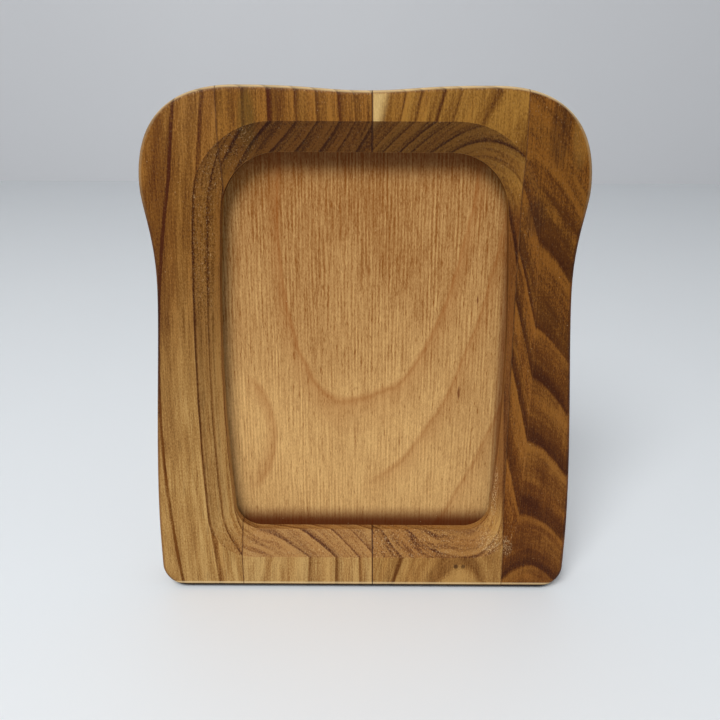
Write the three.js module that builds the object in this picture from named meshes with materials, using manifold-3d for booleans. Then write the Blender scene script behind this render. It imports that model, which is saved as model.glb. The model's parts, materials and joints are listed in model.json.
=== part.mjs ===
// A table-top picture frame of oiled hardwood: a board glued up from upright staves, with a bevelled
// opening, a plywood back held in a rebate by turn buttons, and a plywood easel leg on a butt hinge.
// Lengths are in millimetres and angles in degrees. X runs across the frame, -Y is its front and +Z
// is up. The origin is the middle of the base, on the table.
import * as THREE from 'three';
import { mergeVertices } from 'three/addons/utils/BufferGeometryUtils.js';
import Module from 'manifold-3d';

const wasm = await Module();
wasm.setup();

// The opening seen from the front, at the lip
const OPENING_WIDTH = 124.2;
const OPENING_HEIGHT = 170.4;
const OPENING_BELLY = 76;
const OPENING_SIDE_RADIUS = 860;
const OPENING_TOP_RADIUS = 24;
const OPENING_BOTTOM_RADIUS = 12.2;

// The bevel from the face down to the lip, and its sharp edge on the face
const BEVEL_SIDE = 10.3;
const BEVEL_TOP = 11.6;
const BEVEL_BOTTOM = 10.8;
const BEVEL_DEPTH = 7;
const RECESS_BELLY = 78;
const RECESS_SIDE_RADIUS = 1570;
const RECESS_TOP_RADIUS = 34;
const RECESS_BOTTOM_RADIUS = 20.5;

// What lies behind the bevel, from front to back
const LIP_THICKNESS = 4;
const PRINT_SLOT = 4.2;
const PANEL_THICKNESS = 4.5;
const PANEL_SINK = 0.3;
const LIP_SIDE = 3.9;
const LIP_END = 5.8;
const REBATE_RADIUS = 6;

// The board's outline. Each pull is how far a curve carries on straight from one of its ends.
const TOP_RAIL = 13.3;
const BOTTOM_RAIL = 16.9;
const WAIST_RAIL = 14;
const SHOULDER_SWELL = 4.1;
const BASE_SWELL = 7.4;
const BASE_CORNER_RADIUS = 11;
const BASE_WIDEST_HEIGHT = 24.9;
const FLANK_LOWER_PULL = 42;
const FLANK_UPPER_PULL = 21.6;
const WAIST_DROP = 75;
const NECK_LOWER_PULL = 18.4;
const NECK_UPPER_PULL = 8.4;
const SHOULDER_DROP = 37.8;
const SHOULDER_REACH = 40.3;
const SHOULDER_SIDE_PULL = 27.1;
const SHOULDER_TOP_PULL = 24.2;
const CREST_DIP = 1.9;
const CREST_OUTER_PULL = 30;
const CREST_INNER_PULL = 17.8;
const EDGE_ROUND = 2;
const FRONT_LIFT = 1.1;
const FRONT_LIFT_DEPTH = 7;
const LEAN = 5;

// The staves and their glue lines
const STAVE_WIDTH = 60.65;
const INNER_STRIP = 2.1;
const SEAM_SLANT = 0.58;
const GLUE_LINE = 0.3;

// Clearances
const SEAT_GAP = 0.3;
const BORE_CLEARANCE = 0.3;
const HOLE_END_CLEARANCE = 0.4;

// Turn buttons and their screws
const BUTTON_SPACING = 110;
const BUTTON_INSET = 7;
const BUTTON_REACH = 13;
const BUTTON_WIDTH = 9;
const BUTTON_THICKNESS = 1.2;
const BUTTON_SCREW_RADIUS = 1.5;
const BUTTON_SCREW_GRIP = 10;
const BUTTON_HEAD_RADIUS = 3;
const BUTTON_HEAD_FLAT = 2.2;
const BUTTON_HEAD_HEIGHT = 1.8;
const BUTTON_HEAD_RIM = 1.1;
const SLOT_LENGTH = 3.6;
const SLOT_WIDTH = 0.8;
const SLOT_DEPTH = 0.7;

// Easel leg
const LEG_THICKNESS = 5;
const LEG_FOOT_WIDTH = 44;
const LEG_HEAD_WIDTH = 32;
const LEG_STOP_LENGTH = 7.4;
const LEG_HEAD_RADIUS = 6;
const LEG_OPENING = 10;

// Butt hinge between the back panel and the leg
const HINGE_RISE = 28.2;
const HINGE_WIDTH = 30;
const LEAF_LENGTH = 18;
const LEAF_THICKNESS = 1;
const KNUCKLE_RADIUS = 2;
const CENTRE_KNUCKLE_LENGTH = 11;
const PIN_RADIUS = 0.8;
const LEAF_SCREW_SPACING = 18;
const LEAF_SCREW_DROP = 11;
const LEAF_SCREW_RADIUS = 1.1;
const LEAF_HEAD_RADIUS = 2.2;
const PANEL_SCREW_GRIP = 3.4;
const LEG_SCREW_GRIP = 4;

// How finely round forms are divided
const CORNER_STEPS = 14;
const SIDE_STEPS = 10;
const EDGE_STEPS = 4;
const TURN_STEPS = 28;

// How far cutting shapes reach past what they cut
const OVERSHOOT = 1;

const lean = THREE.MathUtils.degToRad(LEAN);
const legOpening = THREE.MathUtils.degToRad(LEG_OPENING);
const seamSlant = THREE.MathUtils.degToRad(SEAM_SLANT);

// Depths behind the face
const shoulderDepth = BEVEL_DEPTH + LIP_THICKNESS;
const panelFront = shoulderDepth + PRINT_SLOT;
const panelBack = panelFront + PANEL_THICKNESS;
const boardThickness = panelBack + PANEL_SINK;

// Widths from the middle, and heights along the board
const openingHalf = OPENING_WIDTH / 2;
const recessHalf = openingHalf + BEVEL_SIDE;
const rebateHalf = openingHalf + LIP_SIDE;
const waistHalf = recessHalf + WAIST_RAIL;
const shoulderHalf = waistHalf + SHOULDER_SWELL;
const baseHalf = waistHalf + BASE_SWELL;
const recessBottom = BOTTOM_RAIL;
const openingBottom = recessBottom + BEVEL_BOTTOM;
const openingTop = openingBottom + OPENING_HEIGHT;
const openingMiddle = (openingBottom + openingTop) / 2;
const recessTop = openingTop + BEVEL_TOP;
const rebateBottom = openingBottom - LIP_END;
const rebateTop = openingTop + LIP_END;
const crest = recessTop + TOP_RAIL;
const hingeHeight = openingMiddle + HINGE_RISE;

// Materials
const wood = (color) => new THREE.MeshStandardMaterial({ color, roughness: 0.5, metalness: 0 });
const paleStave = wood(0x93683a);
const brownStave = wood(0x7c5128);
const goldenStave = wood(0x9c7342);
const darkStave = wood(0x663c18);
const plywood = wood(0xb58a55);
const legPlywood = wood(0xbf9a66);
const brass = new THREE.MeshStandardMaterial({ color: 0xb08d4a, roughness: 0.35, metalness: 1 });
const steel = new THREE.MeshStandardMaterial({ color: 0x9a9a98, roughness: 0.4, metalness: 1 });

// Turns a closed geometry into a solid that can be joined and cut.
function solidOf(geometry) {
  const bare = new THREE.BufferGeometry();
  bare.setAttribute('position', geometry.getAttribute('position'));
  bare.setIndex(geometry.getIndex());
  const welded = mergeVertices(bare);
  const corners = welded.getIndex().array;
  const triangles = [];
  for (let i = 0; i < corners.length; i += 3) {
    const [a, b, c] = [corners[i], corners[i + 1], corners[i + 2]];
    if (a !== b && b !== c && c !== a) triangles.push(a, b, c);
  }
  return new wasm.Manifold(new wasm.Mesh({
    numProp: 3,
    vertProperties: Float32Array.from(welded.getAttribute('position').array),
    triVerts: Uint32Array.from(triangles),
  }));
}

// Turns a solid back into a geometry.
function geometryOf(solid) {
  const { vertProperties, triVerts } = solid.getMesh();
  const geometry = new THREE.BufferGeometry();
  geometry.setAttribute('position', new THREE.BufferAttribute(vertProperties, 3));
  geometry.setIndex(new THREE.BufferAttribute(triVerts, 1));
  geometry.computeVertexNormals();
  return geometry;
}

function piece(name, solid, material) {
  const mesh = new THREE.Mesh(geometryOf(solid), material);
  mesh.name = name;
  return mesh;
}

function box(x0, x1, y0, y1, z0, z1) {
  const geometry = new THREE.BoxGeometry(x1 - x0, y1 - y0, z1 - z0);
  geometry.translate((x0 + x1) / 2, (y0 + y1) / 2, (z0 + z1) / 2);
  return solidOf(geometry);
}

// A round bar along Y, from y0 to y1.
function barAlongY(radius, y0, y1, x, z) {
  const geometry = new THREE.CylinderGeometry(radius, radius, y1 - y0, TURN_STEPS);
  geometry.translate(x, (y0 + y1) / 2, z);
  return solidOf(geometry);
}

// A round bar along X, from x0 to x1, centred on the X axis.
function barAlongX(radius, x0, x1) {
  const geometry = new THREE.CylinderGeometry(radius, radius, x1 - x0, TURN_STEPS);
  geometry.rotateZ(Math.PI / 2);
  geometry.translate((x0 + x1) / 2, 0, 0);
  return solidOf(geometry);
}

// A solid turned about Y from [radius, y] points that run up the axis, then put in its place.
function turned(profile, place = new THREE.Matrix4()) {
  const points = profile.map(([radius, y]) => new THREE.Vector2(radius, y));
  return solidOf(new THREE.LatheGeometry(points, TURN_STEPS).applyMatrix4(place));
}

// A flat outline in X and Z, thickened from y0 to y1.
function plate(shape, y0, y1) {
  const geometry = new THREE.ExtrudeGeometry(shape, {
    depth: y1 - y0,
    bevelEnabled: false,
    curveSegments: CORNER_STEPS,
  });
  geometry.rotateX(Math.PI / 2);
  geometry.translate(0, y1, 0);
  return solidOf(geometry);
}

// Joins loops of equal length, each at its own depth behind the face, into one closed solid.
function loft(stations) {
  const count = stations[0].loop.length;
  const positions = [];
  const triangles = [];
  for (const { loop, depth } of stations) {
    for (const point of loop) positions.push(point.x, depth, point.y);
  }
  for (let s = 0; s + 1 < stations.length; s += 1) {
    for (let i = 0; i < count; i += 1) {
      const near = s * count;
      const far = near + count;
      const next = (i + 1) % count;
      triangles.push(near + i, far + i, far + next);
      triangles.push(near + i, far + next, near + next);
    }
  }
  const last = (stations.length - 1) * count;
  for (const [a, b, c] of THREE.ShapeUtils.triangulateShape(stations[0].loop, [])) {
    triangles.push(a, b, c);
  }
  for (const [a, b, c] of THREE.ShapeUtils.triangulateShape(stations.at(-1).loop, [])) {
    triangles.push(last + a, last + c, last + b);
  }
  const geometry = new THREE.BufferGeometry();
  geometry.setAttribute('position', new THREE.Float32BufferAttribute(positions, 3));
  geometry.setIndex(triangles);
  return solidOf(geometry);
}

// A circular stretch of outline, counterclockwise. Where a stretch carries on from another, its first
// point is that one's last and is left out.
function arc(x, z, radius, from, to, steps) {
  return new THREE.EllipseCurve(x, z, radius, radius, from, to).getPoints(steps);
}

// Mirrors a right half, from bottom middle to top middle, into a closed loop.
function mirrored(half) {
  const left = half.slice(1, -1).reverse().map((p) => new THREE.Vector2(-p.x, p.y));
  return [...half, ...left];
}

// Moves a counterclockwise loop inwards by an even distance.
function inset(loop, distance) {
  const inward = (a, b) => new THREE.Vector2(a.y - b.y, b.x - a.x).normalize();
  return loop.map((point, i) => {
    const before = loop.at(i - 1);
    const after = loop[(i + 1) % loop.length];
    const normal = inward(before, point).add(inward(point, after)).normalize();
    return point.clone().addScaledVector(normal, distance);
  });
}

// A stretch of outline from one point to another, which leaves the first along one pull and comes to
// the second along the other.
function sweep(from, leaving, to, arriving) {
  return new THREE.CubicBezierCurve(from, from.clone().add(leaving), to.clone().sub(arriving), to);
}

// The board's outline with its bottom edge at a height: round lower corners, flanks that draw in to
// a waist, round shoulders, and a top edge that dips in the middle. Neighbouring curves are tangent.
function boardOutline(bottom) {
  const upward = (pull) => new THREE.Vector2(0, pull);
  const inward = (pull) => new THREE.Vector2(-pull, 0);
  const cornerX = baseHalf - BASE_CORNER_RADIUS;
  const widest = new THREE.Vector2(baseHalf, BASE_WIDEST_HEIGHT);
  const waist = new THREE.Vector2(waistHalf, crest - WAIST_DROP);
  const side = new THREE.Vector2(shoulderHalf, crest - SHOULDER_DROP);
  const lobe = new THREE.Vector2(shoulderHalf - SHOULDER_REACH, crest);
  const dip = new THREE.Vector2(0, crest - CREST_DIP);
  const flank = sweep(widest, upward(FLANK_LOWER_PULL), waist, upward(FLANK_UPPER_PULL));
  const neck = sweep(waist, upward(NECK_LOWER_PULL), side, upward(NECK_UPPER_PULL));
  const shoulder = sweep(side, upward(SHOULDER_SIDE_PULL), lobe, inward(SHOULDER_TOP_PULL));
  const top = sweep(lobe, inward(CREST_OUTER_PULL), dip, inward(CREST_INNER_PULL));
  return mirrored([
    new THREE.Vector2(0, bottom),
    ...arc(cornerX, bottom + BASE_CORNER_RADIUS, BASE_CORNER_RADIUS, -Math.PI / 2, 0, CORNER_STEPS),
    ...flank.getPoints(SIDE_STEPS * 2),
    ...neck.getPoints(SIDE_STEPS).slice(1),
    ...shoulder.getPoints(CORNER_STEPS * 2).slice(1),
    ...top.getPoints(SIDE_STEPS).slice(1),
  ]);
}

// A rounded rectangle with bowed sides: each corner arc is tangent to the side and to the flat end.
function bowedLoop(half, bottom, top, belly, sideRadius, bottomRadius, topRadius) {
  const sideX = half - sideRadius;
  const bellyZ = bottom + belly;
  const corner = (z, radius) => {
    const x = sideX + Math.sqrt((sideRadius - radius) ** 2 - (z - bellyZ) ** 2);
    return { x, z, radius, meets: Math.atan2(z - bellyZ, x - sideX) };
  };
  const low = corner(bottom + bottomRadius, bottomRadius);
  const high = corner(top - topRadius, topRadius);
  return mirrored([
    new THREE.Vector2(0, bottom),
    ...arc(low.x, low.z, low.radius, -Math.PI / 2, low.meets, CORNER_STEPS),
    ...arc(sideX, bellyZ, sideRadius, low.meets, high.meets, SIDE_STEPS).slice(1),
    ...arc(high.x, high.z, high.radius, high.meets, Math.PI / 2, CORNER_STEPS).slice(1),
    new THREE.Vector2(0, top),
  ]);
}

function roundedRectangle(half, bottom, top, radius) {
  const shape = new THREE.Shape();
  shape.absarc(half - radius, bottom + radius, radius, -Math.PI / 2, 0);
  shape.absarc(half - radius, top - radius, radius, 0, Math.PI / 2);
  shape.absarc(radius - half, top - radius, radius, Math.PI / 2, Math.PI);
  shape.absarc(radius - half, bottom + radius, radius, Math.PI, Math.PI * 1.5);
  return shape;
}

// The board before it is told apart into staves: rounded arrises front and back, and a base planed
// to the lean so that it stands flat on the table, apart from its front, which is eased off.
function board() {
  const stations = [];
  const addStation = (depth, pulledIn) => {
    const eased = FRONT_LIFT * Math.max(0, 1 - depth / FRONT_LIFT_DEPTH);
    const loop = inset(boardOutline(depth * Math.tan(lean) + eased), pulledIn);
    stations.push({ loop, depth });
  };
  for (let i = 0; i <= EDGE_STEPS; i += 1) {
    const turn = (i / EDGE_STEPS) * (Math.PI / 2);
    addStation(EDGE_ROUND * (1 - Math.cos(turn)), EDGE_ROUND * (1 - Math.sin(turn)));
  }
  addStation(FRONT_LIFT_DEPTH, 0);
  for (let i = EDGE_STEPS; i >= 0; i -= 1) {
    const turn = (i / EDGE_STEPS) * (Math.PI / 2);
    addStation(boardThickness - EDGE_ROUND * (1 - Math.cos(turn)), EDGE_ROUND * (1 - Math.sin(turn)));
  }
  return loft(stations);
}

// The bevelled opening, cut right through the board.
function openingCut() {
  const face = bowedLoop(
    recessHalf, recessBottom, recessTop, RECESS_BELLY,
    RECESS_SIDE_RADIUS, RECESS_BOTTOM_RADIUS, RECESS_TOP_RADIUS,
  );
  const lip = bowedLoop(
    openingHalf, openingBottom, openingTop, OPENING_BELLY,
    OPENING_SIDE_RADIUS, OPENING_BOTTOM_RADIUS, OPENING_TOP_RADIUS,
  );
  return loft([
    { loop: face, depth: -OVERSHOOT },
    { loop: face, depth: 0 },
    { loop: lip, depth: BEVEL_DEPTH },
    { loop: lip, depth: boardThickness + OVERSHOOT },
  ]);
}

// The rebate behind the lip, which takes the print and the back panel.
function rebateCut() {
  const shape = roundedRectangle(rebateHalf, rebateBottom, rebateTop, REBATE_RADIUS);
  return plate(shape, shoulderDepth, boardThickness + OVERSHOOT);
}

// Everything between two seams, which lie askew to the board by a small slant.
function staveSlab(fromX, toX, fromZ, toZ) {
  const geometry = new THREE.BoxGeometry(toX - fromX, boardThickness + 4 * OVERSHOOT, toZ - fromZ);
  geometry.translate((fromX + toX) / 2, boardThickness / 2, (fromZ + toZ) / 2 - openingMiddle);
  geometry.rotateY(-seamSlant);
  geometry.translate(0, 0, openingMiddle);
  return solidOf(geometry);
}

// Where the turn buttons pivot on the side rails.
const buttonX = rebateHalf + BUTTON_INSET;
const buttonPlaces = [];
for (const [height, up] of [['upper', 1], ['lower', -1]]) {
  const z = openingMiddle + (up * BUTTON_SPACING) / 2;
  buttonPlaces.push({ name: `${height}_left`, x: -buttonX, z, turn: 0 });
  buttonPlaces.push({ name: `${height}_right`, x: buttonX, z, turn: Math.PI });
}
const buttonBore = BUTTON_SCREW_RADIUS + BORE_CLEARANCE;

function staves() {
  let blank = board().subtract(openingCut()).subtract(rebateCut());
  const screwEnd = boardThickness - BUTTON_SCREW_GRIP - HOLE_END_CLEARANCE;
  for (const { x, z } of buttonPlaces) {
    blank = blank.subtract(barAlongY(buttonBore, screwEnd, boardThickness + OVERSHOOT, x, z));
  }
  const half = GLUE_LINE / 2;
  const rightSeam = openingHalf + INNER_STRIP;
  const centreSeam = rightSeam - STAVE_WIDTH;
  const leftSeam = centreSeam - STAVE_WIDTH;
  const edge = 2 * baseHalf;
  const below = -crest;
  const above = 2 * crest;
  const between = (fromX, toX, fromZ = below, toZ = above) => {
    return blank.intersect(staveSlab(fromX + half, toX - half, fromZ + half, toZ - half));
  };
  return [
    piece('stave_left', between(-edge, leftSeam), paleStave),
    piece('stave_inner_left_top', between(leftSeam, centreSeam, openingMiddle, above), brownStave),
    piece('stave_inner_left_bottom', between(leftSeam, centreSeam, below, openingMiddle), goldenStave),
    piece('stave_inner_right', between(centreSeam, rightSeam), goldenStave),
    piece('stave_right', between(rightSeam, edge), darkStave),
  ];
}

// A pan-head screw along Y whose head rests at y = 0 and whose shank runs to -Y.
function panHeadScrew(length) {
  const head = turned([
    [0, -length],
    [BUTTON_SCREW_RADIUS, -length + BUTTON_SCREW_RADIUS],
    [BUTTON_SCREW_RADIUS, 0],
    [BUTTON_HEAD_RADIUS, 0],
    [BUTTON_HEAD_RADIUS, BUTTON_HEAD_RIM],
    [BUTTON_HEAD_FLAT, BUTTON_HEAD_HEIGHT],
    [0, BUTTON_HEAD_HEIGHT],
  ]);
  const reach = SLOT_LENGTH / 2;
  const half = SLOT_WIDTH / 2;
  const top = BUTTON_HEAD_HEIGHT + OVERSHOOT;
  const floor = BUTTON_HEAD_HEIGHT - SLOT_DEPTH;
  const across = box(-reach, reach, floor, top, -half, half);
  const upright = box(-half, half, floor, top, -reach, reach);
  return head.subtract(across.add(upright));
}

// A turn button that pivots at the origin and reaches along +X, from y = 0 to its thickness.
function turnButton() {
  const round = BUTTON_WIDTH / 2;
  const noseX = BUTTON_REACH - round;
  const shape = new THREE.Shape();
  shape.absarc(0, 0, round, Math.PI / 2, Math.PI * 1.5);
  shape.absarc(noseX, 0, round, -Math.PI / 2, Math.PI / 2);
  const hole = barAlongY(buttonBore, -OVERSHOOT, BUTTON_THICKNESS + OVERSHOOT, 0, 0);
  return plate(shape, 0, BUTTON_THICKNESS).subtract(hole);
}

function turnButtons() {
  const seat = boardThickness + SEAT_GAP;
  const headSeat = seat + BUTTON_THICKNESS + SEAT_GAP;
  const grip = headSeat - boardThickness + BUTTON_SCREW_GRIP;
  const meshes = [];
  for (const { name, x, z, turn } of buttonPlaces) {
    const button = piece(`turn_button_${name}`, turnButton(), brass);
    button.position.set(x, seat, z);
    button.rotation.y = turn;
    const screw = piece(`turn_button_screw_${name}`, panHeadScrew(grip), steel);
    screw.position.set(x, headSeat, z);
    meshes.push(button, screw);
  }
  return meshes;
}

// Hinge places, seen from the pin: the panel lies on the -Y side and the leg on the +Y side.
const pinDepth = panelBack + SEAT_GAP + KNUCKLE_RADIUS;
const leafOuter = KNUCKLE_RADIUS;
const leafInner = leafOuter - LEAF_THICKNESS;
const legFront = leafOuter + SEAT_GAP;
const legBack = legFront + LEG_THICKNESS;
const leafTop = -KNUCKLE_RADIUS - SEAT_GAP;
const hingeHalf = HINGE_WIDTH / 2;
const knuckleEnd = CENTRE_KNUCKLE_LENGTH / 2;
const centreKnuckle = [[-knuckleEnd, knuckleEnd]];
const outerKnuckles = [[-hingeHalf, -knuckleEnd - SEAT_GAP], [knuckleEnd + SEAT_GAP, hingeHalf]];
const leafScrews = [['left', -LEAF_SCREW_SPACING / 2], ['right', LEAF_SCREW_SPACING / 2]];
const leafScrewBore = LEAF_SCREW_RADIUS + BORE_CLEARANCE;

// The hole that a countersunk screw needs in a leaf, with its mouth at y = 0, running to -Y.
function countersink() {
  const mouth = LEAF_HEAD_RADIUS + BORE_CLEARANCE;
  const depth = LEAF_THICKNESS + OVERSHOOT;
  return [
    [0, -depth],
    [leafScrewBore, -depth],
    [leafScrewBore, leafScrewBore - mouth],
    [mouth, 0],
    [mouth, OVERSHOOT],
    [0, OVERSHOOT],
  ];
}

// A countersunk screw along Y, flush at y = 0, with its tip at -Y.
function leafScrew(grip) {
  const length = LEAF_THICKNESS + SEAT_GAP + grip;
  return turned([
    [0, -length],
    [LEAF_SCREW_RADIUS, -length + LEAF_SCREW_RADIUS],
    [LEAF_SCREW_RADIUS, LEAF_SCREW_RADIUS - LEAF_HEAD_RADIUS],
    [LEAF_HEAD_RADIUS, 0],
    [0, 0],
  ]);
}

// One leaf with its knuckles, below the pin and on one side of it: +1 towards the leg, -1 towards
// the panel.
function hingeLeaf(knuckles, side) {
  const [y0, y1] = side > 0 ? [leafInner, leafOuter] : [-leafOuter, -leafInner];
  let leaf = box(-hingeHalf, hingeHalf, y0, y1, -LEAF_LENGTH, leafTop);
  for (const [x0, x1] of knuckles) {
    leaf = leaf.add(box(x0, x1, y0, y1, leafTop - OVERSHOOT, 0));
    leaf = leaf.add(barAlongX(KNUCKLE_RADIUS, x0, x1));
  }
  const boreHalf = hingeHalf + OVERSHOOT;
  leaf = leaf.subtract(barAlongX(PIN_RADIUS + BORE_CLEARANCE, -boreHalf, boreHalf));
  for (const [, x] of leafScrews) {
    const place = new THREE.Matrix4().makeRotationZ(side > 0 ? Math.PI : 0);
    place.setPosition(x, side * leafInner, -LEAF_SCREW_DROP);
    leaf = leaf.subtract(turned(countersink(), place));
  }
  return leaf;
}

function backPanel() {
  const shape = roundedRectangle(
    rebateHalf - SEAT_GAP, rebateBottom + SEAT_GAP, rebateTop - SEAT_GAP, REBATE_RADIUS - SEAT_GAP,
  );
  let panel = plate(shape, panelFront, panelBack);
  const holeEnd = panelBack - PANEL_SCREW_GRIP - HOLE_END_CLEARANCE;
  const z = hingeHeight - LEAF_SCREW_DROP;
  for (const [, x] of leafScrews) {
    panel = panel.subtract(barAlongY(leafScrewBore, holeEnd, panelBack + OVERSHOOT, x, z));
  }
  return piece('back_panel', panel, plywood);
}

// The parts of the hinge that stay on the back panel, placed about the pin.
function fixedHinge() {
  const meshes = [
    piece('hinge_panel_leaf', hingeLeaf(outerKnuckles, -1), brass),
    piece('hinge_pin', barAlongX(PIN_RADIUS, -hingeHalf, hingeHalf), steel),
  ];
  for (const [side, x] of leafScrews) {
    const screw = piece(`panel_leaf_screw_${side}`, leafScrew(PANEL_SCREW_GRIP), steel);
    screw.position.set(x, -leafInner, -LEAF_SCREW_DROP);
    meshes.push(screw);
  }
  return meshes;
}

// The easel leg about the pin, as it lies when folded flat. Its head is cut back to rest on the
// panel when the leg is open, and its foot is cut to stand level on the table.
function easelLeg() {
  const pinHeight = hingeHeight * Math.cos(lean) - pinDepth * Math.sin(lean);
  const footTurn = legOpening - lean;
  const footZ = (y) => -(pinHeight + y * Math.sin(footTurn)) / Math.cos(footTurn);
  const stopZ = (legFront * Math.cos(legOpening) + KNUCKLE_RADIUS) / Math.sin(legOpening);
  const headZ = stopZ + LEG_STOP_LENGTH;
  const headFront = legFront + LEG_STOP_LENGTH * Math.tan(legOpening);
  const sideView = new THREE.Shape([
    new THREE.Vector2(legFront, footZ(legFront)),
    new THREE.Vector2(legBack, footZ(legBack)),
    new THREE.Vector2(legBack, headZ),
    new THREE.Vector2(headFront, headZ),
    new THREE.Vector2(legFront, stopZ),
  ]);
  const footHalf = LEG_FOOT_WIDTH / 2;
  const headHalf = LEG_HEAD_WIDTH / 2;
  const widest = Math.max(footHalf, headHalf) + OVERSHOOT;
  const slab = new THREE.ExtrudeGeometry(sideView, { depth: 2 * widest, bevelEnabled: false });
  slab.rotateX(Math.PI / 2);
  slab.rotateZ(Math.PI / 2);
  slab.translate(-widest, 0, 0);
  const low = footZ(legBack) - OVERSHOOT;
  const roundZ = headZ - LEG_HEAD_RADIUS;
  const frontView = new THREE.Shape();
  frontView.moveTo(-footHalf, low);
  frontView.lineTo(footHalf, low);
  frontView.lineTo(headHalf, roundZ);
  frontView.quadraticCurveTo(headHalf, headZ, headHalf - LEG_HEAD_RADIUS, headZ);
  frontView.lineTo(LEG_HEAD_RADIUS - headHalf, headZ);
  frontView.quadraticCurveTo(-headHalf, headZ, -headHalf, roundZ);
  let leg = solidOf(slab).intersect(plate(frontView, 0, legBack + OVERSHOOT));
  const holeEnd = legFront + LEG_SCREW_GRIP + HOLE_END_CLEARANCE;
  for (const [, x] of leafScrews) {
    leg = leg.subtract(barAlongY(leafScrewBore, legFront - OVERSHOOT, holeEnd, x, -LEAF_SCREW_DROP));
  }
  return leg;
}

// What swings with the leg, placed about the pin.
function swingingLeg() {
  const meshes = [
    piece('easel_leg', easelLeg(), legPlywood),
    piece('hinge_leg_leaf', hingeLeaf(centreKnuckle, 1), brass),
  ];
  for (const [side, x] of leafScrews) {
    const screw = piece(`leg_leaf_screw_${side}`, leafScrew(LEG_SCREW_GRIP), steel);
    screw.position.set(x, leafInner, -LEAF_SCREW_DROP);
    screw.rotation.z = Math.PI;
    meshes.push(screw);
  }
  return meshes;
}

const hinge = new THREE.Group();
hinge.position.set(0, pinDepth, hingeHeight);
hinge.add(...fixedHinge());

const swing = new THREE.Group();
swing.rotation.x = legOpening;
swing.add(...swingingLeg());
hinge.add(swing);

const leaning = new THREE.Group();
leaning.rotation.x = -lean;
leaning.position.y = -boardThickness / (2 * Math.cos(lean));
leaning.add(...staves(), backPanel(), ...turnButtons(), hinge);

const frame = new THREE.Group();
frame.add(leaning);

export default frame;
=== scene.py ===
"""Looks of a table-top picture frame: oiled staves, a bare plywood back and brass fittings."""

import json
import math

import bmesh
import bpy
from mathutils import Matrix, Vector

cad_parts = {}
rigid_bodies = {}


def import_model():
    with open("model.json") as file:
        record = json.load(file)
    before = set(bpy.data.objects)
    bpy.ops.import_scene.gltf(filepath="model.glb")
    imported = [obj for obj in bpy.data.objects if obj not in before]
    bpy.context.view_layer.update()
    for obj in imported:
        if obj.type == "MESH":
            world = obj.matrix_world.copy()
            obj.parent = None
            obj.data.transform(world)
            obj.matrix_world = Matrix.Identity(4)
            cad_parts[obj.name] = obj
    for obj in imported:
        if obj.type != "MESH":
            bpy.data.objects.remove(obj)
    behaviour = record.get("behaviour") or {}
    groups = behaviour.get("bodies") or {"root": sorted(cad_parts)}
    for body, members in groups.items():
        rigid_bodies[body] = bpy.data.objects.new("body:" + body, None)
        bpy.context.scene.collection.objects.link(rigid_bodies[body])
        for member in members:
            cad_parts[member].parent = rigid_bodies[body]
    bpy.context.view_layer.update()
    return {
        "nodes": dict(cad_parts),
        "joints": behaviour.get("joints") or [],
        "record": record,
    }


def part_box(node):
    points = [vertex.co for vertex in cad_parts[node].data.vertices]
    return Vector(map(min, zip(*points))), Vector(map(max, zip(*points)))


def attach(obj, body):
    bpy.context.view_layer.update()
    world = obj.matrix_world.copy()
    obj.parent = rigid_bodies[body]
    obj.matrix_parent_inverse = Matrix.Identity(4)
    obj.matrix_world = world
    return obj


for leftover in list(bpy.data.objects):
    bpy.data.objects.remove(leftover)
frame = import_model()

# Sizes in millimetres in the board's own frame: u across, d behind its face, w up from its lower edge
MM = 0.001
BOARD_THICKNESS = 20.0
FRONT_LIFT = 1.1
MIDDLE_HEIGHT = 111.8
SEAMS = (-57.1, 3.55, 64.2)
SEAM_STAINS = (0.45, 0.85, 0.3)
SEAM_SLANT = math.tan(math.radians(0.58))
GLUE_GAP = 0.3
FILM_CLEARANCE = 0.01
GLUE_FACE_REACH = 6.0
GLUE_FACE_FACING = 0.999
WELD_DISTANCE = 0.002

mounts = {mount["name"]: mount for mount in frame["record"]["mounts"]}
joints = {joint["name"]: joint for joint in frame["joints"]}
rear_axis = mounts["rear_top_rail"]["axis"]
LEAN = math.atan2(-rear_axis[2], rear_axis[1])
LEG_LEAN = LEAN + math.radians(joints["leg_fold"]["range_deg"][0])


def tint(red, green, blue):
    """A colour given in display values from 0 to 255, as the shaders take it."""
    linear = []
    for value in (red, green, blue):
        share = value / 255
        linear.append(share / 12.92 if share <= 0.04045 else ((share + 0.055) / 1.055) ** 2.4)
    return (*linear, 1.0)


class Signal:
    """An output of a node tree that plain arithmetic works on."""

    def __init__(self, graph, socket):
        self.graph = graph
        self.socket = socket

    def __add__(self, other):
        return self.graph.math("ADD", self, other)

    def __radd__(self, other):
        return self.graph.math("ADD", other, self)

    def __sub__(self, other):
        return self.graph.math("SUBTRACT", self, other)

    def __rsub__(self, other):
        return self.graph.math("SUBTRACT", other, self)

    def __mul__(self, other):
        return self.graph.math("MULTIPLY", self, other)

    def __rmul__(self, other):
        return self.graph.math("MULTIPLY", other, self)

    def __truediv__(self, other):
        return self.graph.math("DIVIDE", self, other)

    def __abs__(self):
        return self.graph.math("ABSOLUTE", self)


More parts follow.
